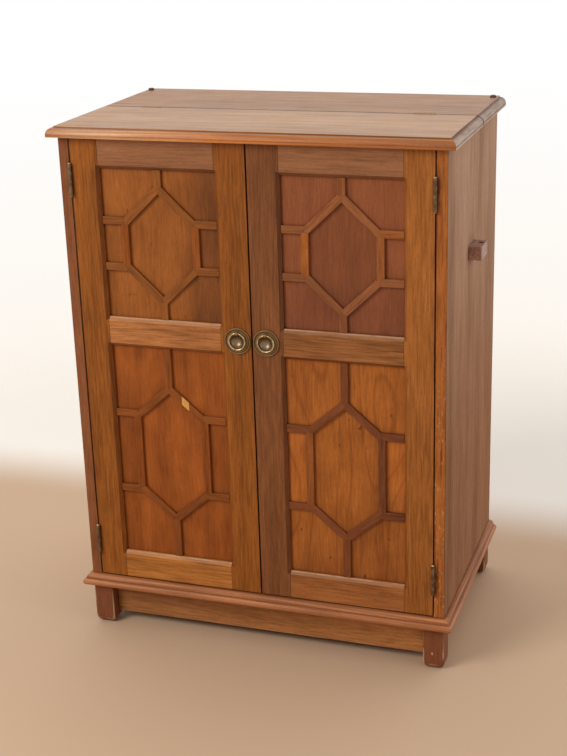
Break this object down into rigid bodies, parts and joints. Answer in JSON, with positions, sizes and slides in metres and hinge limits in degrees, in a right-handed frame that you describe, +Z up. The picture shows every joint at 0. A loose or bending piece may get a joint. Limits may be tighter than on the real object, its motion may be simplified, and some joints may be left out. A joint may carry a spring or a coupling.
{
  "type": "bar cabinet",
  "caption": "Free-standing wooden bar cabinet: fold-over moulded top above a glass well, hinged lattice-panelled doors with ring pulls, bottle shelf, short square feet.",
  "frame": {"origin": "on the floor, under the middle of the cabinet's outline", "axes": "+Z up, the doors face -Y, +X to the right of someone facing the doors"},
  "size_m": [0.641, 0.3836, 0.8453],
  "materials": {
    "top_wood": "satin, worn",
    "moulding_wood": "satin, worn",
    "frame_wood": "satin, worn",
    "panel_wood": "satin",
    "lattice_wood": "satin, worn",
    "side_wood": "satin",
    "plinth_wood": "satin, worn",
    "inside_wood": "matt",
    "aged_brass": "dark patina",
    "steel": "dull",
    "stud_rubber": "matt"
  },
  "bodies": {
    "carcass": {"base_board": "moulding_wood", "left_side": "side_wood", "right_side": "side_wood", "rear_top_leaf": "top_wood", "back_panel": "inside_wood", "well_floor": "inside_wood", "well_front": "inside_wood", "seam_rail": "inside_wood", "shelf": "inside_wood", "front_plinth_rail": "plinth_wood", "back_plinth_rail": "plinth_wood", "left_plinth_rail": "plinth_wood", "right_plinth_rail": "plinth_wood", "front_left_foot": "plinth_wood", "front_right_foot": "plinth_wood", "rear_left_foot": "plinth_wood", "rear_right_foot": "plinth_wood", "left_lug": "side_wood", "right_lug": "side_wood", "left_lid_stud": "stud_rubber", "right_lid_stud": "stud_rubber", "magnetic_catch": "steel", "left_upper_hinge_side_leaf": "aged_brass", "left_lower_hinge_side_leaf": "aged_brass", "right_upper_hinge_side_leaf": "aged_brass", "right_lower_hinge_side_leaf": "aged_brass", "left_lid_hinge_rear_leaf": "aged_brass", "right_lid_hinge_rear_leaf": "aged_brass"},
    "lid": {"lid_leaf": "top_wood", "left_lid_hinge_front_leaf": "aged_brass", "right_lid_hinge_front_leaf": "aged_brass"},
    "left_door": {"left_hinge_stile": "frame_wood", "left_meeting_stile": "frame_wood", "left_top_rail": "frame_wood", "left_middle_rail": "frame_wood", "left_bottom_rail": "frame_wood", "left_upper_panel": "panel_wood", "left_lower_panel": "panel_wood", "left_upper_lattice": "lattice_wood", "left_lower_lattice": "lattice_wood", "left_strike_plate": "steel", "left_upper_hinge_door_leaf": "aged_brass", "left_lower_hinge_door_leaf": "aged_brass", "left_pull_plate": "aged_brass"},
    "right_door": {"right_hinge_stile": "frame_wood", "right_meeting_stile": "frame_wood", "right_top_rail": "frame_wood", "right_middle_rail": "frame_wood", "right_bottom_rail": "frame_wood", "right_upper_panel": "panel_wood", "right_lower_panel": "panel_wood", "right_upper_lattice": "lattice_wood", "right_lower_lattice": "lattice_wood", "right_strike_plate": "steel", "right_upper_hinge_door_leaf": "aged_brass", "right_lower_hinge_door_leaf": "aged_brass", "right_pull_plate": "aged_brass"},
    "left_ring": {"left_pull_ring": "aged_brass"},
    "right_ring": {"right_pull_ring": "aged_brass"}
  },
  "joints": [
    {"name": "lid_fold", "type": "hinge", "parent": "carcass", "child": "lid", "pos_m": [0, 0.00455, 0.8423], "axis": [-1, 0, 0], "range_deg": [0, 179]},
    {"name": "left_door_hinge", "type": "hinge", "parent": "carcass", "child": "left_door", "pos_m": [-0.28225, -0.18155, 0], "axis": [0, 0, -1], "range_deg": [0, 175]},
    {"name": "right_door_hinge", "type": "hinge", "parent": "carcass", "child": "right_door", "pos_m": [0.28225, -0.18155, 0], "axis": [0, 0, 1], "range_deg": [0, 175]},
    {"name": "left_ring_swing", "type": "hinge", "parent": "left_door", "child": "left_ring", "pos_m": [-0.02305, -0.18265, 0.5347], "axis": [-1, 0, 0], "range_deg": [0, 90]},
    {"name": "right_ring_swing", "type": "hinge", "parent": "right_door", "child": "right_ring", "pos_m": [0.02305, -0.18265, 0.5347], "axis": [-1, 0, 0], "range_deg": [0, 90]}
  ]
}
